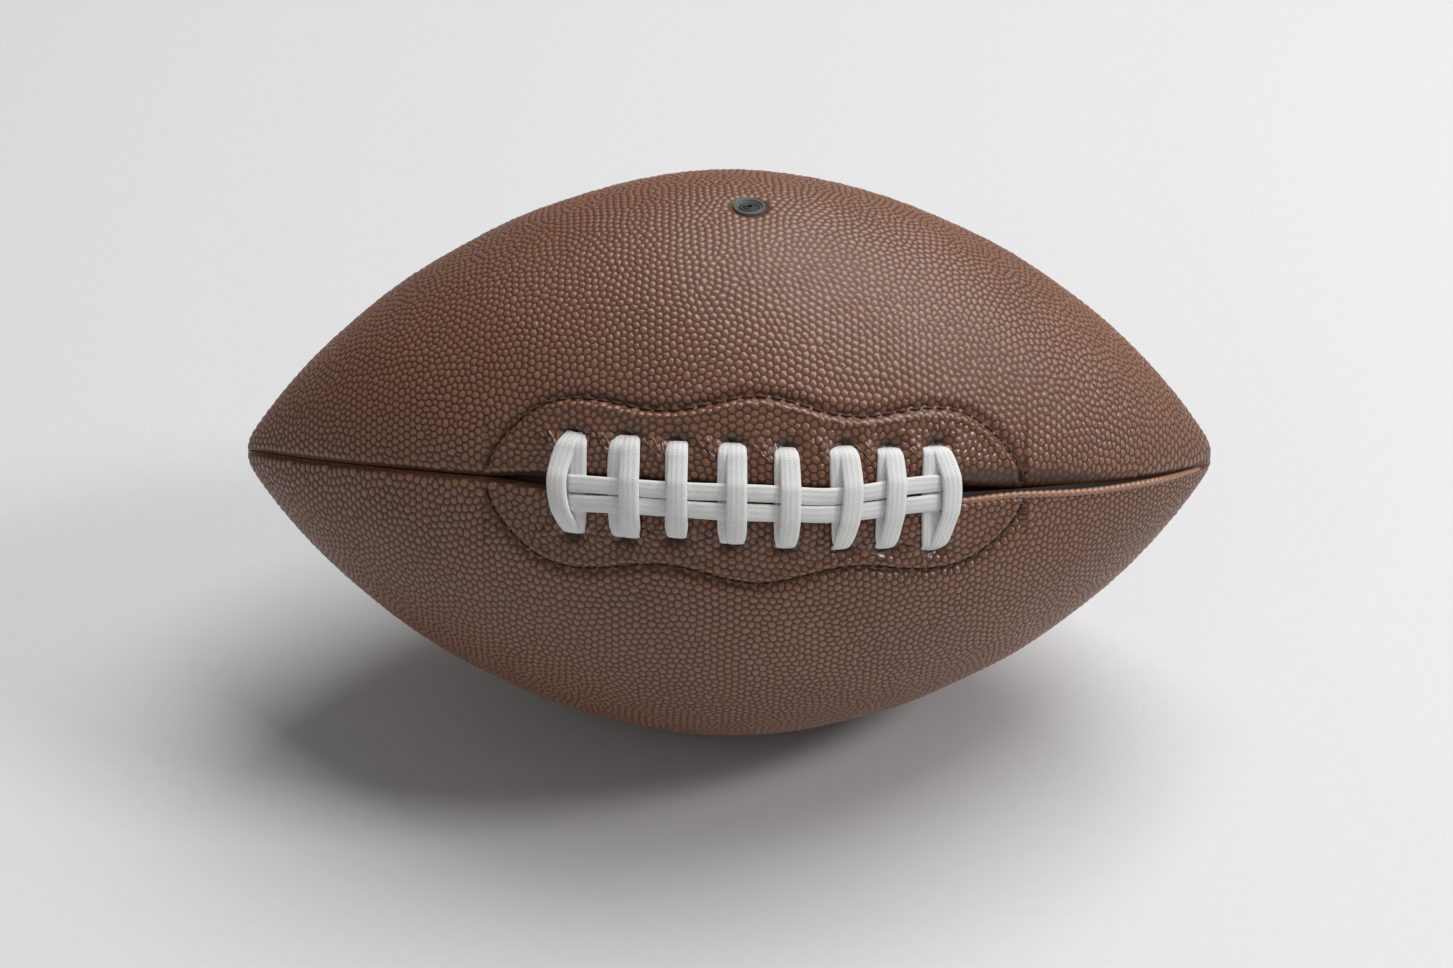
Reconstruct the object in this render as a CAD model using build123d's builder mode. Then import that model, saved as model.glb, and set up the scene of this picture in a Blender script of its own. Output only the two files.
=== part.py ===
from build123d import *
import os
from math import acos, asin, atan2, cos, degrees, hypot, pi, radians, sin, sqrt

# An american football: four stitched cover panels with their linings, an air bladder with its valve,
# and one lace with the patches and the tongue that carry it.
# The ball's long axis runs along X, the lacing looks towards -Y and upwards, and the ball stands on Z = 0.
# Angles go round the long axis, from 0 at -Y through 90 at the top.
# Depths are measured inwards from the surface.

# Ball
ball_length = 288.0
ball_diameter = 168.0
nose_radius = 11.0
belly_radius_share = 0.75
flank_radius_share = 1.12
contact_flat_depth = 1.2

# Cover, lining and bladder
cover_thickness = 2.0
lining_thickness = 0.7
bladder_wall = 0.9
layer_gap = 0.3
flange_depth = 5.6
flange_root_share = 0.5
seam_groove_depth = 0.9
seam_groove_reach = 0.8
panel_angle = 90.0

# Lacing
lacing_angle = 27.0
lacing_station = 4.0
lace_pitch = 14.1
lace_station_shares = (-3.5, -2.46, -1.5, -0.46, 0.58, 1.69, 2.56, 3.5)
lace_width = 5.6
lace_thickness = 1.7
lace_gap = 0.3
lace_bend_radius = 1.1
lace_tail = 9.0
crossbar_reach = 11.0
strand_width = 4.7
slit_dart_share = 0.57
patch_thickness = 0.8
patch_width = 30.0
patch_margin = 14.0
tongue_thickness = 1.2

# Thread
thread_diameter = 0.8
stitch_leg_share = 0.75
seam_stitch_pitch = 8.0
seam_stitch_margin = 26.0
row_reach = 24.0
row_wave_height = 3.3
row_wave_length = 51.0
row_half_length = 62.0
row_stitch_pitch = 4.0

# Valve
valve_station = 3.2
valve_angle = 90.0
valve_recess = 0.25
neck_radius = 4.6
neck_length = 9.5
neck_foot_radius = 10.0
neck_foot_thickness = 1.5
rim_groove_radius = 3.7
rim_groove_width = 0.5
rim_groove_depth = 0.6
plug_head_radius = 2.8
plug_head_thickness = 1.4
plug_stem_radius = 2.2
plug_length = 11.5
plug_tip_chamfer = 0.6
plug_clearance = 0.1
needle_bore_radius = 1.1
needle_bore_length = 9.0

# One overrun serves every cut
overrun = 2.0

# The half section: a belly arc, a flatter flank arc each side of it and a round nose, all tangent
half_length = ball_length / 2
ball_radius = ball_diameter / 2
axis_height = ball_radius - contact_flat_depth
nose_station = half_length - nose_radius
single_radius = (nose_station**2 + ball_radius**2 - nose_radius**2) / (2 * (ball_radius - nose_radius))
belly_radius = belly_radius_share * single_radius
flank_radius = flank_radius_share * single_radius
arc_step = flank_radius - belly_radius
nose_reach = hypot(nose_station, belly_radius - ball_radius)
nose_lean = ((flank_radius - nose_radius) ** 2 - arc_step**2 - nose_reach**2) / (2 * arc_step * nose_reach)
belly_turn = atan2(nose_station, belly_radius - ball_radius) - acos(nose_lean)
belly_centre = ball_radius - belly_radius
flank_station = -arc_step * sin(belly_turn)
flank_centre = belly_centre - arc_step * cos(belly_turn)
nose_turn = atan2(nose_station - flank_station, -flank_centre)

# The layers, one under the other
lining_top = cover_thickness + layer_gap
lining_under = lining_top + lining_thickness
bladder_top = lining_under + layer_gap
bladder_under = bladder_top + bladder_wall
lining_edge = cover_thickness + layer_gap
groove_reach = cover_thickness + thread_diameter + 2 * layer_gap
groove_depth = flange_depth + layer_gap
flange_root = flange_root_share * cover_thickness
thread_top = (lining_under + flange_depth - thread_diameter) / 2
thread_middle = thread_top + thread_diameter / 2
stitch_leg_radius = stitch_leg_share * thread_diameter / 2

# The lacing, from the lace inwards
lace_stations = [lacing_station + share * lace_pitch for share in lace_station_shares]
longest_run = max(right - left for left, right in zip(lace_stations, lace_stations[1:]))
run_sag = (longest_run + lace_width) ** 2 / (8 * belly_radius)
patch_top = bladder_top
patch_under = patch_top + patch_thickness
run_top = patch_under + lace_gap + run_sag
run_under = run_top + lace_thickness
run_middle = (run_top + run_under) / 2
tongue_top = run_under + layer_gap
tongue_under = tongue_top + tongue_thickness
dent_depth = tongue_under + layer_gap
lace_step = lace_thickness + lace_gap
under_leg = crossbar_reach
over_leg = crossbar_reach + lace_step
under_run = under_leg + (lace_thickness - strand_width) / 2
over_run = over_leg + (strand_width - lace_thickness) / 2
slot_inner = under_leg - lace_thickness / 2 - lace_gap
slot_outer = over_leg + lace_thickness / 2 + lace_gap
strand_seat = lace_gap + lace_step
strand_top = strand_seat + lace_thickness
strand_gap = lace_gap
dive_offset = lace_width / 2 + lace_gap + strand_width / 2
dive_left = lace_stations[0] - dive_offset
dive_right = lace_stations[-1] + dive_offset
slit_half_width = strand_gap / 2 + lace_thickness + lace_gap
slit_left = dive_left - strand_width / 2 - lace_gap
slit_right = dive_right + strand_width / 2 + lace_gap
stitched = half_length - seam_stitch_margin
dart_left = slit_left - slit_dart_share * (stitched + slit_left)
dart_right = slit_right + slit_dart_share * (stitched - slit_right)
patch_left = slit_left - patch_margin
patch_right = slit_right + patch_margin
patch_angle = degrees(patch_width / ball_radius)
dent_left = patch_left - layer_gap
dent_right = patch_right + layer_gap
dent_reach = patch_width + layer_gap

# Valve heights
valve_face = axis_height + sqrt(belly_radius**2 - valve_station**2) + belly_centre - valve_recess
neck_foot = valve_face - neck_length
foot_top = bladder_under + layer_gap
plug_head_under = valve_face - plug_head_thickness
plug_tip = valve_face - plug_length

ball_axis = Axis((0, 0, axis_height), (-1, 0, 0))
seam_angles = [lacing_angle + turn * panel_angle for turn in range(4)]
upper = 1
lower = -1


def radius_at(station, depth=0):
    """Distance from the long axis to the surface, or to a layer so deep under it."""
    reach = abs(station)
    if reach < (belly_radius - depth) * sin(belly_turn):
        return belly_centre + sqrt((belly_radius - depth) ** 2 - reach**2)
    if reach < nose_station + (nose_radius - depth) * sin(nose_turn):
        return flank_centre + sqrt((flank_radius - depth) ** 2 - (reach - flank_station) ** 2)
    rise = (nose_radius - depth) ** 2 - (reach - nose_station) ** 2
    return sqrt(max(round(rise, 6), 0))


def slope_at(station):
    """Lean of the surface's normal towards the nearer nose, in radians, positive towards +X."""
    reach = abs(station)
    lean = asin(reach / belly_radius)
    if lean > belly_turn:
        lean = asin((reach - flank_station) / flank_radius)
    return lean if station > 0 else -lean


def seam_plane(angle):
    """Half plane through the long axis: its x runs along the ball, its y outwards at the given angle."""
    turn = radians(angle)
    return Plane(origin=(0, 0, axis_height), x_dir=(1, 0, 0), z_dir=(0, -sin(turn), -cos(turn)))


def surface_plane(station, angle, depth=0):
    """Plane that touches a layer: its x runs along the ball, its y round it, its z outwards."""
    turn = radians(angle)
    lean = slope_at(station)
    radius = radius_at(station)
    outward = Vector(sin(lean), -cos(lean) * cos(turn), cos(lean) * sin(turn))
    along = Vector(cos(lean), sin(lean) * cos(turn), -sin(lean) * sin(turn))
    origin = Vector(station, -radius * cos(turn), axis_height + radius * sin(turn)) - outward * depth
    return Plane(origin=origin, x_dir=along, z_dir=outward)


def cross_plane(station):
    """Plane across the lacing: its x runs round the ball, its y outwards, and its z along the ball."""
    flat = surface_plane(station, lacing_angle)
    return Plane(origin=flat.origin, x_dir=flat.y_dir, z_dir=flat.x_dir)


def drop_at(station, reach):
    """How far the surface falls below its tangent plane, so far round from the lacing's middle."""
    radius = radius_at(station)
    return radius - sqrt(radius**2 - reach**2)


def row_angle(station, side):
    """Angle of the wavy stitch row that runs beside the lacing."""
    wave = row_wave_height * cos(2 * pi * (station - lacing_station) / row_wave_length)
    return lacing_angle + side * degrees((row_reach + wave) / ball_radius)


def meridian(depth, start, end):
    """Draws the half section so deep under the surface, from one station to another."""
    belly_end = (belly_radius - depth) * sin(belly_turn)
    flank_end = nose_station + (nose_radius - depth) * sin(nose_turn)
    joints = [-flank_end, -belly_end, belly_end, flank_end]
    stations = [start] + [joint for joint in joints if start < joint < end] + [end]
    for left, right in zip(stations, stations[1:]):
        middle = (left + right) / 2
        ThreePointArc(*[(place, radius_at(place, depth)) for place in (left, middle, right)])


def band(plane, top, under, start=None, end=None):
    """Sketches the strip between two depths. An end that isn't given is at the nose."""
    ends = []
    for depth in (top, under):
        left = depth - half_length if start is None else start
        right = half_length - depth if end is None else end
        ends.append([(left, radius_at(left, depth)), (right, radius_at(right, depth))])
    with BuildSketch(plane) as strip:
        with BuildLine():
            meridian(top, ends[0][0][0], ends[0][1][0])
            Line(ends[0][1], ends[1][1])
            meridian(under, ends[1][0][0], ends[1][1][0])
            Line(ends[1][0], ends[0][0])
        make_face()
    return strip.sketch


def core(depth):
    """Sketches the whole half section so deep under the surface."""
    with BuildSketch(seam_plane(lacing_angle)) as half:
        with BuildLine():
            meridian(depth, depth - half_length, half_length - depth)
            Line((half_length - depth, 0), (depth - half_length, 0))
        make_face()
    return half.sketch


def raise_all(sketches, amount, both=False, mode=Mode.ADD):
    """Extrudes each sketch square to its own plane, and joins or cuts them all in one step."""
    add([extrude(sketch, amount=amount, both=both, mode=Mode.PRIVATE) for sketch in sketches], mode=mode)


def cover_panel(start):
    """A quarter of the cover, with its long edges turned in along the two seams."""
    with BuildPart() as cover:
        strip = band(seam_plane(start), 0, cover_thickness)
        revolve(strip, axis=ball_axis, revolution_arc=panel_angle)
        for angle, inward in ((start, -1), (start + panel_angle, 1)):
            spans = [(None, None)]
            if (angle - lacing_angle) % (4 * panel_angle) == 0:
                spans = [(None, dart_left), (dart_right, None)]
            for left, right in spans:
                strip = band(seam_plane(angle), flange_root, flange_depth, left, right)
                extrude(strip, amount=inward * cover_thickness)
            strip = band(seam_plane(angle), -overrun, seam_groove_depth)
            extrude(strip, amount=inward * seam_groove_reach, mode=Mode.SUBTRACT)
    return cover.part


def lining(start):
    """The cloth behind one panel, held clear of the turned-in seam edges."""
    with BuildPart() as cloth:
        strip = band(seam_plane(start), lining_top, lining_under)
        revolve(strip, axis=ball_axis, revolution_arc=panel_angle)
        for angle, inward in ((start, -1), (start + panel_angle, 1)):
            strip = band(seam_plane(angle), 0, lining_under + overrun)
            extrude(strip, amount=inward * lining_edge, mode=Mode.SUBTRACT)
    return cloth.part


def cut_slit():
    """Opens the front seam under the lacing, with a dart at each end."""
    with BuildSketch(surface_plane(lacing_station, lacing_angle, -overrun)) as slit:
        with BuildLine():
            Polyline(
                (dart_left - lacing_station, 0),
                (slit_left - lacing_station, slit_half_width),
                (slit_right - lacing_station, slit_half_width),
                (dart_right - lacing_station, 0),
                (slit_right - lacing_station, -slit_half_width),
                (slit_left - lacing_station, -slit_half_width),
                close=True,
            )
        make_face()
    extrude(slit.sketch, amount=-(overrun + ball_radius / 2), mode=Mode.SUBTRACT)


def cut_lace_slots(side):
    """Cuts one side's lace holes, square to the lacing."""
    slot_reach = (slot_inner + slot_outer) / 2
    slots = []
    for station in lace_stations:
        with BuildSketch(surface_plane(station, lacing_angle, -overrun)) as slot:
            with Locations((0, side * slot_reach)):
                Rectangle(lace_width + 2 * lace_gap, slot_outer - slot_inner)
        slots.append(slot.sketch)
    raise_all(slots, -(overrun + tongue_top), mode=Mode.SUBTRACT)


def cut_valve_hole():
    """Cuts the round hole that the valve's neck comes up through."""
    with BuildSketch(Plane.XY.offset(neck_foot)) as hole:
        with Locations((valve_station, 0)):
            Circle(neck_radius + layer_gap)
    extrude(hole.sketch, amount=neck_length + valve_recess + overrun, mode=Mode.SUBTRACT)


def bladder_form(skin):
    """The bag's outside, or with a skin its inside: grooved at the seams and dented under the lacing."""
    with BuildPart() as form:
        strip = core(bladder_top + skin)
        revolve(strip, axis=ball_axis, revolution_arc=4 * panel_angle)
        for angle in seam_angles:
            strip = band(seam_plane(angle), -overrun, groove_depth + skin)
            extrude(strip, amount=groove_reach + skin, both=True, mode=Mode.SUBTRACT)
        reach_angle = degrees((dent_reach + skin) / ball_radius)
        strip = band(seam_plane(lacing_angle - reach_angle), -overrun, dent_depth + skin,
                     dent_left - skin, dent_right + skin)
        revolve(strip, axis=ball_axis, revolution_arc=2 * reach_angle, mode=Mode.SUBTRACT)
    return form.part


def patch(side):
    """The strip behind the lace holes on one side of the slit."""
    first = lacing_angle if side == upper else lacing_angle - patch_angle
    with BuildPart() as backing:
        strip = band(seam_plane(first), patch_top, patch_under, patch_left, patch_right)
        revolve(strip, axis=ball_axis, revolution_arc=patch_angle)
        strip = band(seam_plane(lacing_angle), 0, patch_under + overrun)
        extrude(strip, amount=lining_edge, both=True, mode=Mode.SUBTRACT)
        cut_lace_slots(side)
    return backing.part


def patch_thread(side):
    """Running stitch that sews the patch to the panel: a leg at each stitch, a run between the legs."""
    count = int(2 * row_half_length / row_stitch_pitch)
    pitch = 2 * row_half_length / count
    places = [lacing_station - row_half_length + index * pitch for index in range(count + 1)]
    legs = []
    runs = []
    for station in places:
        with BuildSketch(surface_plane(station, row_angle(station, side), thread_diameter / 2)) as leg:
            Circle(stitch_leg_radius)
        legs.append(leg.sketch)
    for index, (left, right) in enumerate(zip(places, places[1:])):
        middle = (left + right) / 2
        depth = 0 if index % 2 == 0 else patch_under
        rise = radians(row_angle(right, side) - row_angle(left, side)) * radius_at(middle)
        with BuildSketch(surface_plane(middle, row_angle(middle, side), depth)) as run:
            SlotCenterToCenter(hypot(pitch, rise), thread_diameter, rotation=degrees(atan2(rise, pitch)))
        runs.append(run.sketch)
    with BuildPart() as thread:
        raise_all(legs, -patch_under)
        raise_all(runs, -thread_diameter)
    return thread.part


def seam_thread(angle, start, end):
    """Lock stitch along one seam: a run on each turned-in edge, and the stitches through both."""
    count = 1 + int((end - start) / seam_stitch_pitch)
    pitch = (end - start) / count
    places = [start + (index + 1 / 2) * pitch for index in range(count)]
    plane = seam_plane(angle)
    with BuildPart() as thread:
        for inward in (-1, 1):
            strip = band(plane.offset(inward * cover_thickness), thread_top, thread_top + thread_diameter,
                         start, end)
            extrude(strip, amount=inward * thread_diameter)
        with BuildSketch(plane) as stitches:
            with Locations(*[(place, radius_at(place, thread_middle)) for place in places]):
                Circle(stitch_leg_radius)
        extrude(stitches.sketch, amount=cover_thickness + thread_diameter / 2, both=True)
    return thread.part


def crossbar(station, points):
    """One pass of the lace across the slit, with its legs down through the holes."""
    with BuildSketch(cross_plane(station)) as path:
        with BuildLine():
            FilletPolyline(*points, radius=lace_bend_radius)
        trace(line_width=lace_thickness)
    return path.sketch


def under_points(station):
    """Path of the pass that lies on the leather."""
    seat = lace_gap + lace_thickness / 2
    foot = -run_under - drop_at(station, under_leg)
    shares = (-1, -0.5, 0, 0.5, 1)
    across = [(share * under_leg, seat - drop_at(station, share * under_leg)) for share in shares]
    return [(-under_leg, foot), *across, (under_leg, foot)]


def over_points(station):
    """Path of the pass that lies over the two lengthwise strands."""
    crest = strand_top + lace_gap + lace_thickness / 2
    shoulder = strand_gap / 2 + strand_width
    foot = -run_under - drop_at(station, over_leg)
    side = lace_thickness
    rise = [(-over_leg, foot), (-over_leg, side), (-shoulder, crest)]
    return rise + [(-across, height) for across, height in reversed(rise)]


def inner_run(left, right, side, reach):
    """A stretch of the lace behind the patch, from one hole to the next."""
    middle = (left + right) / 2
    angle = lacing_angle + side * degrees(asin(reach / radius_at(middle, run_middle)))
    with BuildSketch(surface_plane(middle, angle, run_top)) as run:
        Rectangle(right - left + lace_width, strand_width)
    return run.sketch


def cross_run(station, side, reach):
    """A stretch of the lace behind the patch, from the slit out to a hole's leg."""
    length = reach - strand_gap / 2
    angle = lacing_angle + side * degrees(asin((strand_gap + length) / 2 / radius_at(station, run_middle)))
    with BuildSketch(surface_plane(station, angle, run_top)) as run:
        Rectangle(strand_width, length)
    return run.sketch


def dive(station, side):
    """The end of a strand, turned on edge where it goes down through the slit."""
    with BuildSketch(surface_plane(station, lacing_angle, -strand_top)) as end:
        with Locations((0, side * (strand_gap + lace_thickness) / 2)):
            Rectangle(strand_width, lace_thickness)
    return end.sketch


# Cover panels
with BuildPart() as panel_upper_front:
    add(cover_panel(seam_angles[0]))
    cut_slit()
    cut_lace_slots(upper)
    cut_valve_hole()

with BuildPart() as panel_lower_front:
    add(cover_panel(seam_angles[3]))
    cut_slit()
    cut_lace_slots(lower)

with BuildPart() as panel_upper_back:
    add(cover_panel(seam_angles[1]))

with BuildPart() as panel_lower_back:
    add(cover_panel(seam_angles[2]))
    with BuildSketch(Plane.XY):
        Rectangle(ball_length, ball_diameter)
    extrude(amount=-ball_radius, mode=Mode.SUBTRACT)

# Linings
with BuildPart() as lining_upper_front:
    add(lining(seam_angles[0]))
    cut_lace_slots(upper)
    cut_valve_hole()

with BuildPart() as lining_lower_front:
    add(lining(seam_angles[3]))
    cut_lace_slots(lower)

with BuildPart() as lining_upper_back:
    add(lining(seam_angles[1]))

with BuildPart() as lining_lower_back:
    add(lining(seam_angles[2]))

# Air bladder
with BuildPart() as bladder:
    add(bladder_form(0))
    add(bladder_form(bladder_wall), mode=Mode.SUBTRACT)
    cut_valve_hole()

# Valve housing: a neck through the layers, on a foot that follows the inside of the bladder
with BuildPart() as valve_housing:
    foot_reach = neck_foot_radius + overrun
    foot_angle = degrees(foot_reach / ball_radius)
    strip = band(seam_plane(valve_angle - foot_angle), foot_top, foot_top + neck_foot_thickness,
                 valve_station - foot_reach, valve_station + foot_reach)
    revolve(strip, axis=ball_axis, revolution_arc=2 * foot_angle)
    with BuildSketch(Plane.XY.offset(axis_height)):
        with Locations((valve_station, 0)):
            Circle(neck_foot_radius)
    extrude(amount=ball_radius, mode=Mode.INTERSECT)
    with BuildSketch(Plane.XY.offset(neck_foot)):
        with Locations((valve_station, 0)):
            Circle(neck_radius)
    extrude(amount=neck_length)
    with BuildSketch(Plane.XY.offset(valve_face)):
        with Locations((valve_station, 0)):
            Circle(plug_head_radius + plug_clearance)
    extrude(amount=-plug_head_thickness, mode=Mode.SUBTRACT)
    with BuildSketch(Plane.XY.offset(valve_face)):
        with Locations((valve_station, 0)):
            Circle(plug_stem_radius + plug_clearance)
    extrude(amount=-(neck_length + overrun), mode=Mode.SUBTRACT)
    with BuildSketch(Plane.XY.offset(valve_face)):
        with Locations((valve_station, 0)):
            Circle(rim_groove_radius + rim_groove_width / 2)
            Circle(rim_groove_radius - rim_groove_width / 2, mode=Mode.SUBTRACT)
    extrude(amount=-rim_groove_depth, mode=Mode.SUBTRACT)

# Valve plug: a head in the housing's face, a stem, and the blind bore that a pump's needle goes into
with BuildPart() as valve_plug:
    with BuildSketch(Plane.XY.offset(plug_tip)):
        with Locations((valve_station, 0)):
            Circle(plug_stem_radius)
    extrude(amount=plug_length)
    chamfer(valve_plug.faces().sort_by(Axis.Z)[0].edges(), plug_tip_chamfer)
    with BuildSketch(Plane.XY.offset(plug_head_under)):
        with Locations((valve_station, 0)):
            Circle(plug_head_radius)
    extrude(amount=plug_head_thickness)
    with BuildSketch(Plane.XY.offset(valve_face)):
        with Locations((valve_station, 0)):
            Circle(needle_bore_radius)
    extrude(amount=-needle_bore_length, mode=Mode.SUBTRACT)

# Patches and tongue behind the lacing
with BuildPart() as lace_patch_upper:
    add(patch(upper))

with BuildPart() as lace_patch_lower:
    add(patch(lower))

with BuildPart() as lace_tongue:
    strip = band(seam_plane(lacing_angle - patch_angle), tongue_top, tongue_under, patch_left, patch_right)
    revolve(strip, axis=ball_axis, revolution_arc=2 * patch_angle)

# The lace: an under pass and an over pass at every station, two strands between them, and the runs inside
with BuildPart() as lace:
    passes = [crossbar(station, under_points(station)) for station in lace_stations]
    passes += [crossbar(station, over_points(station)) for station in lace_stations]
    raise_all(passes, lace_width / 2, both=True)
    for side in (upper, lower):
        strip = band(seam_plane(lacing_angle).offset(-side * strand_gap / 2), -strand_top, -strand_seat,
                     dive_left - strand_width / 2, dive_right + strand_width / 2)
        extrude(strip, amount=-side * strand_width)
    ends = [dive(station, side) for station in (dive_left, dive_right) for side in (upper, lower)]
    raise_all(ends, -(strand_top + run_under))
    runs = [
        inner_run(dive_left, lace_stations[0], upper, under_run),
        inner_run(dive_left, lace_stations[0], lower, over_run),
        inner_run(lace_stations[-1], lace_stations[-1] + lace_tail, upper, under_run),
        inner_run(lace_stations[-1], lace_stations[-1] + lace_tail, lower, over_run),
        cross_run(dive_left, upper, under_leg + lace_thickness / 2),
        cross_run(dive_left, lower, over_leg + lace_thickness / 2),
    ]
    for index, (left, right) in enumerate(zip(lace_stations, lace_stations[1:])):
        under_side = lower if index % 2 == 0 else upper
        runs.append(inner_run(left, right, under_side, under_run))
        runs.append(inner_run(left, right, -under_side, over_run))
    with BuildSketch(surface_plane(dive_right, lacing_angle, run_top)) as turn:
        Rectangle(strand_width, strand_gap + 2 * lace_thickness)
    raise_all([*runs, turn.sketch], -lace_thickness)

pieces = {
    "panel_upper_front": panel_upper_front,
    "panel_lower_front": panel_lower_front,
    "panel_upper_back": panel_upper_back,
    "panel_lower_back": panel_lower_back,
    "lining_upper_front": lining_upper_front,
    "lining_lower_front": lining_lower_front,
    "lining_upper_back": lining_upper_back,
    "lining_lower_back": lining_lower_back,
    "bladder": bladder,
    "valve_housing": valve_housing,
    "valve_plug": valve_plug,
    "lace_patch_upper": lace_patch_upper,
    "lace_patch_lower": lace_patch_lower,
    "lace_tongue": lace_tongue,
    "lace": lace,
}
for name, angle, start, end in (
    ("seam_thread_front_left", seam_angles[0], -stitched, dart_left),
    ("seam_thread_front_right", seam_angles[0], dart_right, stitched),
    ("seam_thread_top", seam_angles[1], -stitched, stitched),
    ("seam_thread_back", seam_angles[2], -stitched, stitched),
    ("seam_thread_bottom", seam_angles[3], -stitched, stitched),
):
    with BuildPart() as thread:
        add(seam_thread(angle, start, end))
    pieces[name] = thread
for name, side in (("patch_thread_upper", upper), ("patch_thread_lower", lower)):
    with BuildPart() as thread:
        add(patch_thread(side))
    pieces[name] = thread
os.makedirs("parts", exist_ok=True)
for name, piece in pieces.items():
    piece.part.label = name
    export_step(piece.part, f"parts/{name}.step")
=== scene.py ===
from math import acos, atan2, cos, hypot, pi, radians, sin, sqrt

import bmesh
import bpy
import numpy as np
from mathutils import Matrix, Vector, geometry, kdtree


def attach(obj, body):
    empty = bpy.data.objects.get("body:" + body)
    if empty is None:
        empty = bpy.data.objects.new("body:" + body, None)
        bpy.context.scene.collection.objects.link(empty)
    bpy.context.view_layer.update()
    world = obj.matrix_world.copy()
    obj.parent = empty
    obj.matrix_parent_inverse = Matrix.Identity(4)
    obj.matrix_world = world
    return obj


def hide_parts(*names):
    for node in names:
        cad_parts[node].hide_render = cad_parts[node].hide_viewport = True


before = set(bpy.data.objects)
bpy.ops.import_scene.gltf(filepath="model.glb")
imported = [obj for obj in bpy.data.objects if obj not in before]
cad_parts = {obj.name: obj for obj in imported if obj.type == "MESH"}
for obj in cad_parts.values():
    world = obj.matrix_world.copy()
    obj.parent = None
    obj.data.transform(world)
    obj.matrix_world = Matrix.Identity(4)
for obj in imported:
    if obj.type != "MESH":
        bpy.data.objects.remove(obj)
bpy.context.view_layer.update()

# Units: metres. MM and mm turn the ball's own sizes, which are in millimetres, into metres.
MM = 0.001


def mm(*sizes):
    """A row of sizes in millimetres, turned into metres."""
    return np.array(sizes) * MM


# Sides of the front seam
UPPER = 1
LOWER = -1

# Photograph: frame, lens and the place of the ball's middle in it, in pixels
PHOTO_WIDTH = 1453
PHOTO_HEIGHT = 968
FOCAL_PIXELS = 2724.0
BALL_PIXEL = (730.8, 452.6)
SENSOR_WIDTH = 36.0
CAMERA_DISTANCE = 814 * MM
CAMERA_TURN = radians(2.15)
CAMERA_HEIGHT = radians(34.15)
CAMERA_ROLL = radians(1.4)
CAMERA_NEAREST = 10 * MM

# Ball
BALL_LENGTH = 288 * MM
BALL_DIAMETER = 168 * MM
NOSE_RADIUS = 11 * MM
BELLY_SHARE = 0.75
FLANK_SHARE = 1.12
CONTACT_FLAT = 1.2 * MM
HALF = BALL_LENGTH / 2
RADIUS = BALL_DIAMETER / 2
AXIS_HEIGHT = RADIUS - CONTACT_FLAT
SECTION_STEPS = 6001
LEAST_WIDTH = 0.2 * MM

# Panels, in order round the ball from the front seam upwards
PANELS = ("upper_front", "upper_back", "lower_back", "lower_front")
PANEL_TURN = pi / 2
FRONT_SEAM = radians(27)
FIRST_SEED = 11
TIP_GAP = 0.5 * MM
TIP_SHARES = (0.33, 0.67)
TIP_RADIUS = 1 * MM
NOSE_FADE = mm(2, 16)
CROSSED_WAVE = 0.10 * MM
SLANTED_WAVE = 0.07 * MM

# Pebbles: their shape, where they are lower, and the relief that their finish takes at a panel's edge
PEBBLE_PITCH = 2.3 * MM
PEBBLE_RIM = 0.47 * MM
PEBBLE_RISE = 0.35 * MM
PEBBLE_CROWN = 0.14 * MM
PEBBLE_SINK = 0.26 * MM
UNEVEN_SHARE = 0.22
UNEVEN_LENGTHS = mm(1.9, 3.1)
NOSE_PEBBLES = 0.55
GLAZED_LOSS = 0.25
EDGE_RELIEF = 0.8

# Pebble middles: how they are sown, and how they are pushed apart
SOWN_MARGIN = 0.85 * PEBBLE_PITCH
SOWN_TIP_GAP = 2.6 * MM
SOWN_VALVE_GAP = 0.75 * PEBBLE_PITCH
SOWN_STAGGER = 0.22
SOWN_SHAKE = 0.5
NEIGHBOURS = 22
NEIGHBOUR_REACH = 2.1 * PEBBLE_PITCH
PUSH_ROUNDS = 14
PUSH_REACH = 1.22 * PEBBLE_PITCH
PUSH_SHARE = 0.28
PUSH_MARGIN = 0.55 * PEBBLE_PITCH
PUSH_MARGIN_RADIUS = 1.5 * MM
PUSH_MARGIN_MOST = 0.4 * PANEL_TURN
PUSH_TIP_GAP = 1.9 * MM
TINY = 1e-9

# Seams. Here and below, a hump is a height, a middle and a width.
SEAM_DEPTH = 1.3 * MM
SEAM_REACH = 2.3 * MM
SEAM_GAP = 0.16 * MM
SEAM_PUCKER = mm(0.22, 0, 1.9)
STITCH_PITCH = 2.3 * MM
EDGE_TURN_IN = 1.6 * MM

# Front seam: stations along the ball, and how far it strays round the ball there
STRAY_X = mm(-144, -100, -45, -20, 5, 25, 45, 68, 100, 125, 144)
STRAY_SIZES = mm(0.8, 1.5, 1.3, 0.4, -0.8, -1.8, -2.1, -2.5, -4.0, -3.4, -2.6)
STRAY_STEPS = 600
STRAY_BLUR = 30
STRAY_RADIUS = 6 * MM
STRAY_SPREAD = radians(55)

# Lacing: the pitch of its passes, its holes' distances from the front seam, and the slit
LACING_X = 4 * MM
LACE_PITCH = 14.1 * MM
LACE_STATION_SHARES = (-3.5, -2.46, -1.5, -0.46, 0.58, 1.69, 2.56, 3.5)
LACE_X = [LACING_X + share * LACE_PITCH for share in LACE_STATION_SHARES]
HOLES_ABOVE = mm(13.4, 13.4, 12.7, 13.1, 12.6, 13.4, 12.8, 13.0)
HOLES_BELOW = mm(13.6, 13.8, 12.9, 13.7, 14.2, 14.3, 14.4, 15.4)
SLIT_HALF = 1.7 * MM
SLIT_LEFT = -46 * MM
SLIT_RIGHT = 54 * MM
SLIT_DART = 26 * MM
SLIT_SPREAD = 9 * MM

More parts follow.
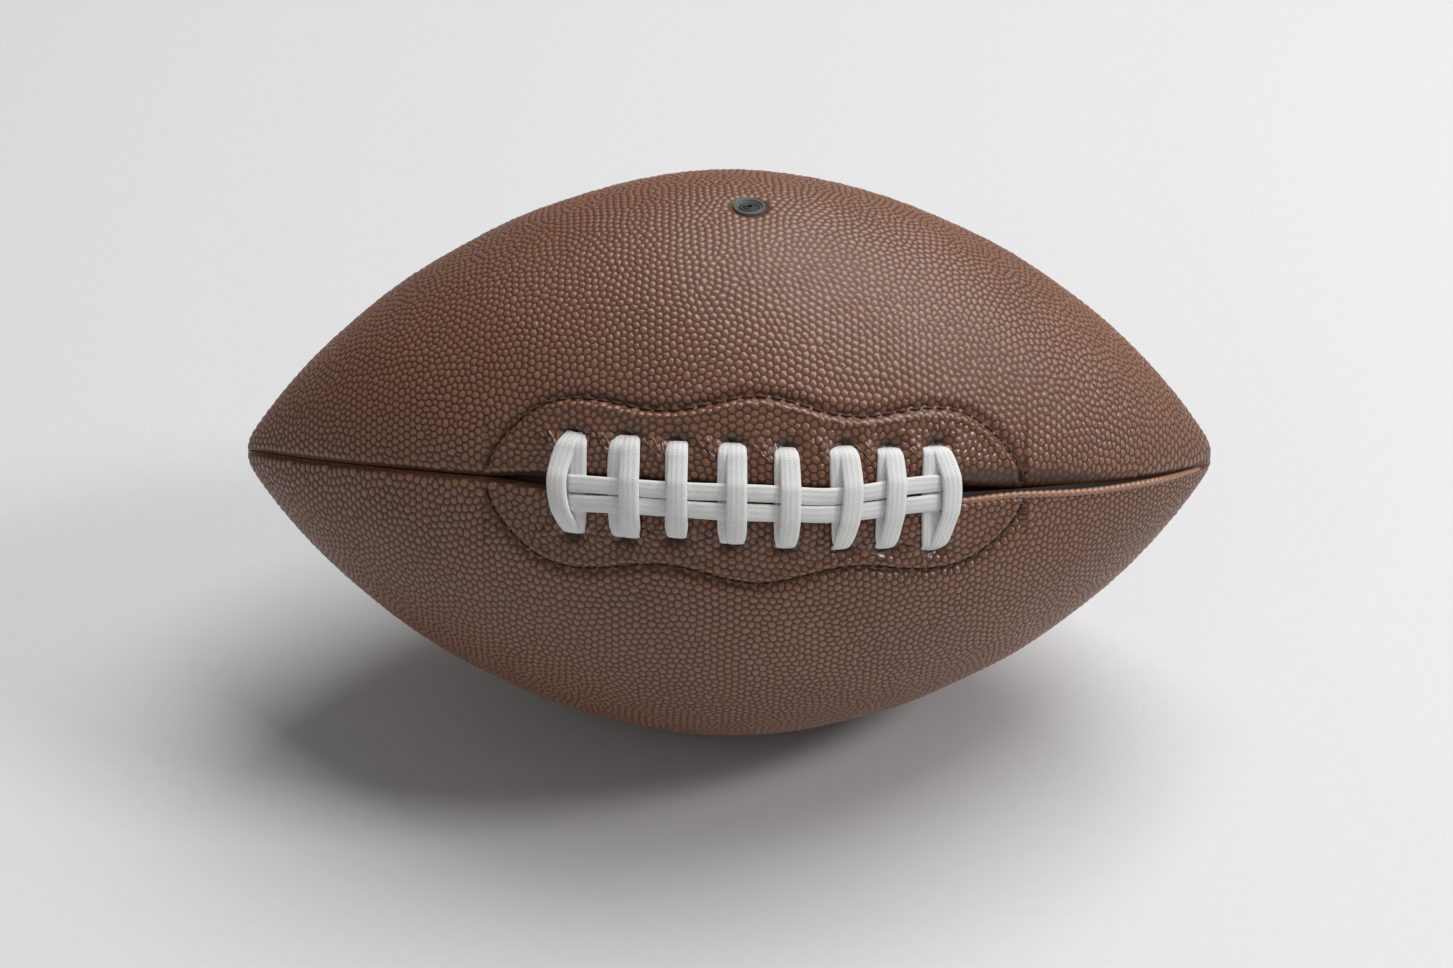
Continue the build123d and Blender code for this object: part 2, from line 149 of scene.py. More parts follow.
# Front seam beside the lacing: bands of stations where the leather rolls in deeper, its shape there, and the
# painted shade in the roll
ROLL_RIGHT = mm(42, 54, 92, 132)
ROLL_LEFT = mm(-125, -85, -52, -40)
ROLL_LEFT_SHARE = 0.25
ROLL_POWER = 1.6
UPPER_ROLL_DEPTH = 2.9 * MM
UPPER_ROLL_REACH = 7.5 * MM
UPPER_ROLL_TAPER = mm(80, 120)
UPPER_ROLL_LOSS = 0.55
LOWER_ROLL_DEPTH = 0.3 * MM
LOWER_ROLL_REACH = 2.4 * MM
LOWER_LIP = mm(0.35, 1.5, 1.1)
SMOOTHED_AND_SHADED_SHARES = (0.05, 0.4)
ROLL_PAINTED_SHADE = 0.75
SMOOTHED_PEBBLE_LOSS = 0.6
PUCKER_BAND = (LACE_X[-1] + 2 * MM, LACE_X[-1] + 12 * MM, 105 * MM, 125 * MM)
PUCKER_REST = 0.4
UPPER_PUCKER = mm(0.2, 0, 2.2)
LOWER_PUCKER = mm(0.55, 0, 2.2)

# Wavy stitch row beside the lacing
ROW_X = 5 * MM
ROW_REACH = 24.2 * MM
ROW_WAVE = 2.1 * MM
ROW_WAVE_LENGTH = 51 * MM
ROW_STRAIGHT = 55 * MM
ROW_HOOK = 20 * MM
ROW_PITCH = 4 * MM
ROW_STEP = 0.2 * MM
ROW_GROOVE = mm(-1.5, 0.2, 1.3)
ROW_RIDGE = mm(0.75, -2.3, 1.4)
ROW_TACK = mm(-0.25, 0, 1.6)

# Leather inside the stitch row: padding, lace holes with their creases and folds, puffs between the passes,
# and the painted shade by the holes
LACING_FADE = 3 * MM
GLAZE_FADE = mm(2, -3)
PAD_RISE = 1.0 * MM
PAD_REACH = 4 * MM
HOLE_DENT = mm(-2.3, 0, 3.4)
HOLE_MIDDLE = 0.3 * MM
HOLE_REACH = 1.9 * MM
CREASE_BAND = mm(-6.5, -4.0, -1.0, 1.5)
CREASE_ROOT = 1 * MM
CREASE_WIDTH = 0.5 * MM
FURROW_MIDDLE = -1.0 * MM
FURROW_WIDTH = 0.55 * MM
FURROW_SHARE = 0.8
FOLD_BAND = mm(-0.5, 1.0, 2.5, 6.0)
FOLD_SLANT = 0.4
FOLD = mm(-0.4, 0, 0.7)
PUFF = mm(0.8, 9.5, 4.5)
PUFF_GAP = 5.4 * MM
PUFF_FADE = 9 * MM
SHADE_WIDTH = 3.2 * MM
SHADE_MIDDLE = 0.4 * MM
SHADE_REACH = 1.5 * MM
# Each crease: where it starts beside its hole, in millimetres, its slant, and its height in millimetres
HOLE_CREASES = ((-6.6, 0.5, 0.55), (-8.6, 0.8, 0.4), (5.9, -0.5, 0.3))

# Lace: its section, and the stations where its two strands stray from the slit's middle
LACE_WIDTH = 5.6 * MM
LACE_THICKNESS = 1.6 * MM
LACE_SIDES = 14
STRAND_WIDTH = 4.7 * MM
STRAND_X = mm(-50, -13, 5, 24, 36, 47, 57)
STRAND_SIZES = mm(-2.5, -2.0, -1.8, -1.9, -0.3, 0.9, 1.2)
STRAND_BLUR = np.linspace(-5, 5, 9) * MM
STRAND_STEPS = 161
STRAND_LEFT = LACE_X[0] - 3.2 * MM
STRAND_RIGHT = LACE_X[-1] + 3.6 * MM
STRAND_GAP = 0.1 * MM
STRAND_HEIGHT = 2.55 * MM
STRAND_ARCH = 0.35 * MM
STRAND_PRESS = 4 * MM
STRAND_WAVE = 0.15 * MM
STRAND_WAVE_LENGTH = 47 * MM
STRAND_ROLL = 0.10
STRAND_ROLL_LENGTH = 29 * MM
DIVE_LENGTH = 4 * MM
DIVE_DEPTH = 6.5 * MM
DIVE_POWER = 1.5
DIVE_ROLL = 0.9
DIVE_PINCH = 0.55
DIVE_STRAIGHTENS = 0.7

# Each pass of the lace: shift along the ball at its upper and lower end and how far it bows, in millimetres
UNDER_PASSES = ((1.6, 1.5, 0), (-1.6, -1.2, -0.8), (-0.3, -0.3, 0), (-1.0, -0.8, -0.3),
                (-0.8, -0.6, 0), (-1.8, -0.6, 0), (-0.9, -1.2, 0), (-1.6, -1.4, -0.2))
OVER_PASSES = ((0.2, 0.8, -3.4), (1.0, 1.6, 0.2), (0.3, 0.6, 0), (1.2, 1.3, 0),
               (0.4, 0.2, 0.3), (0.6, -1.2, 1.6), (0.8, -0.6, 0.6), (0.6, -0.2, 2.6))
# Height of a pass over the ball, in millimetres, at shares of the way from the slit to a hole
UNDER_HEIGHTS = ((0, 1.2), (0.5, 1.5), (0.88, 1.4), (0.96, 0.4), (1.0, -1.4), (1.06, -3))
OVER_HEIGHTS = ((0, 4.5), (0.33, 4.35), (0.52, 3.3), (0.74, 2.3), (0.9, 1.7), (0.97, 0.3), (1.02, -1.8),
                (1.06, -3))
PASS_STEPS = 49
PASS_END = 1.06
PASS_FINE_STEPS = 400
PASS_BLUR = 15
UNDER_TWIST = 0.05
OVER_TWIST = 0.04
TWIST_TURN = 3.1
PINCH_SHARES = (0.7, 1.0)
PINCH_ABOVE = 0.06
PINCH_BELOW = 0.22

# Beaded lip of the front seam
BEAD_BAND = mm(57, 65, 117, 139)
BEAD_RADIUS = 1.05 * MM
BEAD_SIDES = 12
BEAD_STEPS = 10
BEAD_GAP = 0.55 * MM
BEAD_SINK = 1.0 * MM
BEAD_RISE = 1.1 * MM
BEAD_LEAN = 0.5
BEAD_WAIST = 0.62
BEAD_SWELL = 0.42
BEAD_POWER = 0.7
BEAD_END_SHARE = 0.4
# Relief over 1 makes the beads' tops paler: a painted highlight
BEAD_HIGHLIGHT_RELIEF = 1.2

# Stitches of the wavy row
THREAD_RADIUS = 0.36 * MM
THREAD_SIDES = 8
STITCH_STEPS = 9
STITCH_SHARE = 0.36
STITCH_SINK = 1.15 * MM
STITCH_BOW = 0.62 * MM
ROW_SAMPLES = 3000
ROW_HOOK_SHARE = 0.98

# Valve, with the half sections of its two pieces: radius and height over the ball's face, in millimetres
VALVE_PANEL = "upper_front"
VALVE_X = 3.2 * MM
VALVE_ANGLE = pi / 2
VALVE_HOLE = 4.75 * MM
VALVE_DENT = mm(-0.45, 4.75, 1.3)
VALVE_POINTS = 20
SPIN_STEPS = 64
WELD_GAP = 0.001 * MM
HOUSING_PROFILE = ((2.32, -9.6), (4.6, -9.6), (4.6, -7.2), (9.6, -7.3), (9.9, -6.9), (9.6, -6.0), (4.6, -5.1),
                   (4.6, -0.75), (4.55, -0.30), (4.40, -0.02), (4.15, 0.08), (3.9, 0.05), (3.72, -0.12),
                   (3.62, -0.62), (3.36, -0.66), (3.28, -0.40), (3.16, -0.30), (3.04, -0.34), (2.96, -0.5),
                   (2.94, -1.66), (2.32, -1.66), (2.32, -9.6))
PLUG_PROFILE = ((0, -9.2), (0.85, -9.2), (0.85, -0.8), (0.72, -0.55), (0.72, -0.22), (0.86, -0.02),
                (1.15, 0.05), (1.45, -0.02), (1.62, -0.25), (1.75, -0.42), (1.95, -0.42), (2.1, -0.28),
                (2.4, -0.22), (2.62, -0.28), (2.76, -0.5), (2.76, -1.6), (2.18, -1.62), (2.18, -11.1),
                (1.7, -11.7), (0, -11.75))

# Colours
LEATHER = (0.245, 0.102, 0.053)
# Painted shade, for the dark between the pebbles and by the lace holes
LEATHER_PAINTED_SHADE = (0.040, 0.017, 0.010)
# Pale colour of worn pebble tops, also a painted highlight along the creases and on the seam beads
LEATHER_WORN_AND_HIGHLIGHT = (0.370, 0.180, 0.108)
LACE_SHADED = (0.70, 0.695, 0.67)
LACE_WHITE = (0.93, 0.93, 0.92)
THREAD_DARK = (0.030, 0.014, 0.009)
THREAD_BROWN = (0.095, 0.045, 0.028)
HOUSING_RUBBER = (0.098, 0.106, 0.106)
PLUG_RUBBER = (0.026, 0.029, 0.029)
BLADDER_RUBBER = (0.030, 0.030, 0.030)
# Dark lining: painted shade inside the slit under the lacing
LINING_SHADE_DARK = (0.060, 0.048, 0.040)
PATCH_LEATHER = (0.105, 0.055, 0.036)
TONGUE_VINYL = (0.040, 0.026, 0.020)
FLOOR_DARK = (0.74, 0.74, 0.745)
FLOOR_LIGHT = (0.78, 0.78, 0.785)
# Painted creases by the lace holes, bumped and with a painted highlight: millimetres from the next pass,
# slant, half width and share of the height
PAINTED_CREASES = ((-5.6, 0.55, 0.55, 1.0), (-8.0, 0.95, 0.45, 0.7), (-4.0, 0.15, 0.4, 0.6),
                   (-10.6, -0.5, 0.4, 0.4))

# Stage and light: each lamp's place, size and power in watts
FLOOR_HALF = 8.0
LAMPS = {"key": ((0.75, 0.80, 2.45), (2.3, 1.9), 62.0),
         "side": ((1.75, -0.35, 1.45), (0.5, 0.4), 16.0),
         "fill": ((-1.4, -2.2, 1.7), (1.8, 1.6), 7.0)}
ROOM_COLOUR = (0.8, 0.81, 0.83, 1)
ROOM_STRENGTH = 0.17


# Curves

def smooth(low, high, value):
    """Smooth step from 0 at low to 1 at high."""
    t = np.clip((value - low) / (high - low), 0, 1)
    return t * t * (3 - 2 * t)


def band(value, rise, full, fall, end):
    """Smooth band: it rises to 1 between its first two values and falls to 0 between its last two."""
    return smooth(rise, full, value) * (1 - smooth(fall, end, value))


def bell(value, middle, width, power=2):
    """Soft bump that is 1 at its middle."""
    return np.exp(-(((value - middle) / width) ** power))


def hump(value, height, middle, width):
    """Soft bump of a given height."""
    return height * bell(value, middle, width)


def blurred(values, reach):
    """A row of values, each softened with so many neighbours on both sides."""
    kernel = np.hanning(2 * reach + 1)
    return np.convolve(np.pad(values, reach, mode="edge"), kernel / kernel.sum(), mode="valid")


def unit(rows):
    """Rows of directions, each made one long."""
    return rows / np.linalg.norm(rows, axis=1)[:, None]


# The ball's half section, as a table of arc length, station, radius, lean and conformal length

def section_radius(x):
    """Distance of the surface from the long axis at stations x."""
    nose_x = HALF - NOSE_RADIUS
    single = (nose_x**2 + RADIUS**2 - NOSE_RADIUS**2) / (2 * (RADIUS - NOSE_RADIUS))
    belly = BELLY_SHARE * single
    flank = FLANK_SHARE * single
    step = flank - belly
    reach = hypot(nose_x, belly - RADIUS)
    lean = ((flank - NOSE_RADIUS) ** 2 - step**2 - reach**2) / (2 * step * reach)
    turn = atan2(nose_x, belly - RADIUS) - acos(lean)
    belly_y = RADIUS - belly
    flank_x = -step * sin(turn)
    flank_y = belly_y - step * cos(turn)
    nose_turn = atan2(nose_x - flank_x, -flank_y)
    far = np.abs(x)
    belly_r = belly_y + np.sqrt(np.maximum(belly**2 - far**2, 0))
    flank_r = flank_y + np.sqrt(np.maximum(flank**2 - (far - flank_x) ** 2, 0))
    nose_r = np.sqrt(np.maximum(NOSE_RADIUS**2 - (far - nose_x) ** 2, 0))
    on_flank = np.where(far < nose_x + NOSE_RADIUS * sin(nose_turn), flank_r, nose_r)
    return np.where(far < belly * sin(turn), belly_r, on_flank)


TABLE_X = HALF * np.sin(np.linspace(-pi / 2, pi / 2, SECTION_STEPS))
TABLE_R = section_radius(TABLE_X)
TABLE_S = np.concatenate([[0], np.cumsum(np.hypot(np.diff(TABLE_X), np.diff(TABLE_R)))])
TABLE_S -= TABLE_S[-1] / 2
TABLE_LEAN = np.arctan2(-np.gradient(TABLE_R, TABLE_S), np.gradient(TABLE_X, TABLE_S))
STEP_WIDTHS = np.maximum(TABLE_R[1:] + TABLE_R[:-1], LEAST_WIDTH)
TABLE_PSI = np.concatenate([[0], np.cumsum(np.diff(TABLE_S) / STEP_WIDTHS * 2)])
S_END = TABLE_S[-1]


def at(table, s):
    """Value of one of the section's tables at arc lengths s."""
    return np.interp(s, TABLE_S, table)


def s_of_x(x):
    """Arc length at station x."""
    return np.interp(x, TABLE_X, TABLE_S)


def surface(s, theta, height=0.0):
    """Points on the ball, or so high above it."""
    lean = at(TABLE_LEAN, s)
    radius = at(TABLE_R, s) + height * np.cos(lean)
    x = at(TABLE_X, s) + height * np.sin(lean)
    return np.stack([x, -radius * np.cos(theta), AXIS_HEIGHT + radius * np.sin(theta)], axis=-1)


def frame_at(s, theta):
    """Unit directions along the ball, round it, and outwards."""
    lean = at(TABLE_LEAN, s)
    zero = np.zeros_like(lean)
    along = np.stack([np.cos(lean), np.sin(lean) * np.cos(theta), -np.sin(lean) * np.sin(theta)], axis=-1)
    around = np.stack([zero, np.sin(theta), np.cos(theta)], axis=-1)
    out = np.stack([np.sin(lean), -np.cos(lean) * np.cos(theta), np.cos(lean) * np.sin(theta)], axis=-1)
    return along, around, out


def locate(points):
    """Arc length, angle and height over the ball of points near its surface."""
    theta = np.arctan2(points[:, 2] - AXIS_HEIGHT, -points[:, 1])
    s = s_of_x(np.clip(points[:, 0], -HALF, HALF))
    for _ in range(4):
        along, _, _ = frame_at(s, theta)
        s = np.clip(s + np.sum((points - surface(s, theta)) * along, axis=1), -S_END, S_END)
    _, _, out = frame_at(s, theta)
    return s, theta, np.sum((points - surface(s, theta)) * out, axis=1)


def from_valve(s, theta):
    """Distance from the middle of the valve's hole."""
    return np.linalg.norm(surface(s, theta) - surface(s_of_x(VALVE_X), VALVE_ANGLE), axis=1)


# Shape of the leather over the plain ball

STRAY_TABLE_X = np.linspace(-HALF, HALF, STRAY_STEPS)
STRAY_TABLE = blurred(np.interp(STRAY_TABLE_X, STRAY_X, STRAY_SIZES), STRAY_BLUR)


def stray_turn(x, radius, off):
    """Turn with which the leather strays round the ball, at an angle off the front seam."""
    fade = (1 - np.clip(np.abs(off) / STRAY_SPREAD, 0, 1)) ** 2
    return np.interp(x, STRAY_TABLE_X, STRAY_TABLE) / np.maximum(radius, STRAY_RADIUS) * fade


def front_seam(x):
    """Angle of the front seam at station x."""
    return FRONT_SEAM + stray_turn(x, section_radius(x), 0)


def slit_half(x):
    """Half the width of the open slit under the lacing."""
    return SLIT_HALF * band(x, SLIT_LEFT - SLIT_DART, SLIT_LEFT, SLIT_RIGHT, SLIT_RIGHT + SLIT_DART)


def row_reach(x):
    """Distance of the wavy stitch row from the front seam, at the ball's middle radius."""
    far = np.clip((np.abs(x - ROW_X) - ROW_STRAIGHT) / ROW_HOOK, 0, 1)
    wave = ROW_REACH + ROW_WAVE * np.cos(2 * pi * (x - ROW_X) / ROW_WAVE_LENGTH)
    return wave * np.sqrt(1 - far**2)


def row_distance(s, off):
    """Signed distance from the stitch row, positive outside it. off is the angle from the front seam."""
    x = at(TABLE_X, s)
    radius = at(TABLE_R, s)
    slope = (row_reach(x + ROW_STEP) - row_reach(x - ROW_STEP)) / (2 * ROW_STEP)
    away = (np.abs(off) * RADIUS - row_reach(x)) * radius / RADIUS / np.sqrt(1 + slope**2)
    beyond = np.abs(x - ROW_X) - ROW_STRAIGHT - ROW_HOOK
    return np.where(beyond < 0, away, np.hypot(np.maximum(beyond, 0), np.abs(off) * radius))


def stitch_pull(s, pitch):
    """Pull of a row of stitches: 1 at each stitch and 0 between two."""
    return 0.5 + 0.5 * np.cos(2 * pi * s / pitch)


def seam_drop(away, s):
    """How far the leather rolls in beside a seam, drawn deeper at each stitch."""
    t = np.clip(1 - away / SEAM_REACH, 0, 1)
    roll = SEAM_DEPTH * (1 - np.sqrt(1 - t * t))
    return roll + hump(away, *SEAM_PUCKER) * stitch_pull(s, STITCH_PITCH)


def hole_relief(aside, out):
    """Height of the leather at one lace hole: its dent, the creases beside it and the fold past it."""
    height = hump(aside, *HOLE_DENT) * bell(out, HOLE_MIDDLE, HOLE_REACH)
    for start, slant, size in HOLE_CREASES:
        line = aside - start * MM + slant * (out + CREASE_ROOT)
        furrow = FURROW_SHARE * bell(line, FURROW_MIDDLE, FURROW_WIDTH)
        height += size * MM * band(out, *CREASE_BAND) * (bell(line, 0, CREASE_WIDTH) - furrow)
    return height + band(out, *FOLD_BAND) * hump(aside + FOLD_SLANT * out, *FOLD)


def lacing_relief(s, off):
    """Height of the leather round the lacing: its padding, stitch row, lace holes and puffs."""
    x = at(TABLE_X, s)
    reach = np.abs(off) * at(TABLE_R, s)
    away = row_distance(s, off)
    height = PAD_RISE * (1 - np.exp(np.minimum(away, 0) / PAD_REACH))
    height += hump(away, *ROW_GROOVE) + hump(away, *ROW_RIDGE)
    height += hump(away, *ROW_TACK) * stitch_pull(s, ROW_PITCH)
    holes = np.where(off[:, None] > 0, HOLES_ABOVE, HOLES_BELOW)
    for index, hole_x in enumerate(LACE_X):
        height += hole_relief(x - hole_x, reach - holes[:, index])
    between = np.prod([1 - bell(x, hole_x, PUFF_GAP, 4) for hole_x in LACE_X], axis=0)
    laced = band(x, LACE_X[0] - PUFF_FADE, LACE_X[0], LACE_X[-1], LACE_X[-1] + PUFF_FADE)
    return height + between * laced * hump(reach, *PUFF)


def hole_shade(x, out):
    """How much painted shade darkens the leather by a lace hole, from 0 to 1. out is the distance past the
    holes.
    """
    across = np.sum([bell(x, hole_x, SHADE_WIDTH, 4) for hole_x in LACE_X], axis=0)
    return np.clip(across * bell(out, SHADE_MIDDLE, SHADE_REACH), 0, 1)


def lip_roll(x, edge, side):
    """The leather's deeper roll into the front seam, wide above it, tight below, and how smooth it gets,
    which also sets the painted shade in the roll.
    """
    past = band(x, *ROLL_RIGHT) + ROLL_LEFT_SHARE * band(x, *ROLL_LEFT)
    if side == LOWER:
        t = np.clip(1 - edge / LOWER_ROLL_REACH, 0, 1)
        return past * (hump(edge, *LOWER_LIP) - LOWER_ROLL_DEPTH * t**ROLL_POWER), np.zeros_like(x)
    reach = UPPER_ROLL_REACH * (1 - UPPER_ROLL_LOSS * smooth(*UPPER_ROLL_TAPER, x))
    t = np.clip(1 - edge / reach, 0, 1)
    return -past * UPPER_ROLL_DEPTH * t**ROLL_POWER, past * smooth(*SMOOTHED_AND_SHADED_SHARES, t)


def lip_pucker(s, edge, side):
    """How the stitches pucker the front seam right of the lacing."""
    pucker = hump(edge, *(UPPER_PUCKER if side == UPPER else LOWER_PUCKER))
    return band(at(TABLE_X, s), *PUCKER_BAND) * (PUCKER_REST - stitch_pull(s, STITCH_PITCH)) * pucker


def soft_waves(s, theta):
    """Slight unevenness of a stretched cover."""
    along = s / HALF
    crossed = np.sin(15.5 * along + 2.1 * theta) * np.sin(9 * along + 5 * theta)
    slanted = np.sin(19 * along + 7 * theta + 1.3)
    return CROSSED_WAVE * crossed + SLANTED_WAVE * slanted


def uneven_pebbles(x, theta):
    """Share of their full height that the pebbles have from place to place."""
    first, second = UNEVEN_LENGTHS
    return 1 + UNEVEN_SHARE * np.sin(x / first + 3 * np.sin(theta * 23)) * np.sin(theta * 41 + x / second)


# Mesh helpers

def finish_piece(bm, name, material, body, replaced=()):
    """Makes the object, shades it smooth and ties it to the frame."""
    mesh = bpy.data.meshes.new(name)
    bm.to_mesh(mesh)
    bm.free()
    mesh.polygons.foreach_set("use_smooth", [True] * len(mesh.polygons))
    mesh.materials.append(material)
    piece = bpy.data.objects.new(name, mesh)
    bpy.context.scene.collection.objects.link(piece)
    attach(piece, body)
    if replaced:
        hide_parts(*replaced)
    return piece


def point_attribute(piece, name, values):
    """Stores one number at each vertex for the material to read."""
    layer = piece.data.attributes.new(name, "FLOAT", "POINT")
    layer.data.foreach_set("value", np.asarray(values, dtype=np.float32))


# What the leather's finish reads at a vertex far from the lacing. The two gaps are in millimetres.
PLAIN_MARKS = {"relief": 0.0, "glaze": 0.0, "bar_gap": -99.0, "hole_out": -99.0, "hole": 0.0}


def mark_leather(piece, marks):
    """Stores the leather's marks. Marks and vertices that none are given for are plain."""
    for name, plain in PLAIN_MARKS.items():
        given = marks.get(name, ())
        values = np.full(len(piece.data.vertices), plain)
        values[: len(given)] = given
        point_attribute(piece, name, values)


def places_of(verts):
    """Places of vertices as an array."""
    return np.array([vert.co[:] for vert in verts])


def of_type(kind, items):
    """The items of one kind, from what a mesh operator has made."""
    return [item for item in items if isinstance(item, kind)]


# Pebbled panels

def edge_points(start):
    """Fixed points along a panel's two seams and across its two tips."""
    end = S_END - TIP_GAP
    stops = np.linspace(-end, end, int(2 * end / PEBBLE_PITCH))
    points = [(s, start) for s in stops] + [(s, start + PANEL_TURN) for s in stops]
    for s in (-end, end):
        points += [(s, start + PANEL_TURN * share) for share in TIP_SHARES]
    return np.array(points)


def valve_points():
    """Fixed points round the valve's hole."""
    turns = np.linspace(0, 2 * pi, VALVE_POINTS, endpoint=False)
    s = float(s_of_x(VALVE_X)) + VALVE_HOLE * np.cos(turns)
    return np.stack([s, VALVE_ANGLE + VALVE_HOLE * np.sin(turns) / RADIUS], axis=1)


def pebble_seeds(start, seed, has_valve):
    """Loose rows of pebble middles over a panel, shaken out of line."""
    rng = np.random.default_rng(seed)
    step = PEBBLE_PITCH * sqrt(3) / 2
    seeds = []
    for row, s in enumerate(np.arange(-S_END + SOWN_TIP_GAP, S_END - SOWN_TIP_GAP, step)):
        width = float(at(TABLE_R, s)) * PANEL_TURN - 2 * SOWN_MARGIN
        if width < 0:
            continue
        count = int(width / PEBBLE_PITCH) + 1
        stagger = SOWN_STAGGER if row % 2 else -SOWN_STAGGER
        for index in range(count):
            u = SOWN_MARGIN + width * (index + 0.5 + stagger) / count
            seeds.append((s, start + u / float(at(TABLE_R, s))))
    seeds = np.array(seeds)
    shake = rng.uniform(-SOWN_SHAKE, SOWN_SHAKE, seeds.shape) * PEBBLE_PITCH
    seeds[:, 0] += shake[:, 0]
    seeds[:, 1] += shake[:, 1] / at(TABLE_R, seeds[:, 0])
    if has_valve:
        seeds = seeds[from_valve(seeds[:, 0], seeds[:, 1]) > VALVE_HOLE + SOWN_VALVE_GAP]
    return seeds


def neighbours_of(places, count):
    """For each of the first so many places, the places near it, filled up with -1."""
    tree = kdtree.KDTree(len(places))
    for index, place in enumerate(places):
        tree.insert(place, index)
    tree.balance()
    near = np.full((count, NEIGHBOURS), -1)
    for index in range(count):
        hits = tree.find_range(places[index], NEIGHBOUR_REACH)
        found = [hit[1] for hit in hits if hit[1] != index][:NEIGHBOURS]
        near[index, : len(found)] = found
    return near


def relax(seeds, fixed, start):
    """Pushes the pebble middles apart until they lie evenly."""
    everything = np.vstack([seeds, fixed])
    moving = everything[: len(seeds)]
    near = neighbours_of(surface(everything[:, 0], everything[:, 1]), len(seeds))
    limit = S_END - PUSH_TIP_GAP
    for _ in range(PUSH_ROUNDS):
        places = surface(everything[:, 0], everything[:, 1])
        gap = places[: len(seeds), None, :] - places[near]
        size = np.linalg.norm(gap, axis=2) + TINY
        push = np.where(near >= 0, np.maximum(0, 1 - size / PUSH_REACH), 0)
        move = np.sum(gap / size[:, :, None] * push[:, :, None], axis=1) * PUSH_SHARE * PEBBLE_PITCH
        along, around, _ = frame_at(moving[:, 0], moving[:, 1])
        radius = at(TABLE_R, moving[:, 0])
        moving[:, 0] += np.sum(move * along, axis=1)
        moving[:, 1] += np.sum(move * around, axis=1) / radius
        margin = np.minimum(PUSH_MARGIN / np.maximum(radius, PUSH_MARGIN_RADIUS), PUSH_MARGIN_MOST)
        moving[:, 0] = np.clip(moving[:, 0], -limit, limit)
        moving[:, 1] = np.clip(moving[:, 1], start + margin, start + PANEL_TURN - margin)
    return moving


def pebble_cells(seeds, fixed, ring):
    """A sheet of pebbles: one many-sided cell round each middle, raised inside its rim."""
    points = np.vstack([seeds, fixed, ring])
    flat = [Vector(pair) for pair in zip(at(TABLE_PSI, points[:, 0]).tolist(), points[:, 1].tolist())]
    _, _, triangles, source, _, _ = geometry.delaunay_2d_cdt(flat, [], [], 0, TINY)
    origin = [group[0] if group else None for group in source]
    bm = bmesh.new()
    verts = [bm.verts.new(place) for place in surface(points[:, 0], points[:, 1])]
    first_ring = len(seeds) + len(fixed)
    for corners in triangles:
        corners = [origin[index] for index in corners]
        if None in corners or min(corners) >= first_ring:
            continue
        bm.faces.new([verts[index] for index in corners])
    inner = [edge for edge in bm.edges if len(edge.link_faces) == 2]
    bmesh.ops.poke(bm, faces=bm.faces[:])
    bmesh.ops.rotate_edges(bm, edges=inner, use_ccw=False)
    bmesh.ops.dissolve_verts(bm, verts=verts[: len(seeds)])
    rims = set(vert for vert in bm.verts if vert.is_boundary)
    cells = [face for face in bm.faces if len(face.verts) > 3 and not rims & set(face.verts)]
    bmesh.ops.inset_individual(bm, faces=cells, thickness=PEBBLE_RIM, depth=PEBBLE_RISE, use_even_offset=True)
    bmesh.ops.poke(bm, faces=cells, offset=PEBBLE_CROWN)
    return bm


def lacing_marks(s, edge, off, side):
    """The leather's marks on a panel beside the lacing, with the painted shade by the lace holes."""
    x = at(TABLE_X, s)
    holes = HOLES_ABOVE if side == UPPER else HOLES_BELOW
    following = np.minimum(np.searchsorted(LACE_X, x), len(LACE_X) - 1)
    return {"glaze": smooth(*GLAZE_FADE, row_distance(s, off)),
            "bar_gap": (x - np.array(LACE_X)[following]) / MM,
            "hole_out": (edge - holes[following]) / MM,
            "hole": hole_shade(x, edge - np.interp(x, LACE_X, holes))}


def turn_in_edges(bm):
    """Folds the open edges of a panel into the ball."""
    open_edges = [edge for edge in bm.edges if edge.is_boundary]
    turned = of_type(bmesh.types.BMVert, bmesh.ops.extrude_edge_only(bm, edges=open_edges)["geom"])
    s, theta, _ = locate(places_of(turned))
    for vert, out in zip(turned, frame_at(s, theta)[2]):
        vert.co -= Vector(out) * EDGE_TURN_IN
    bm.verts.index_update()


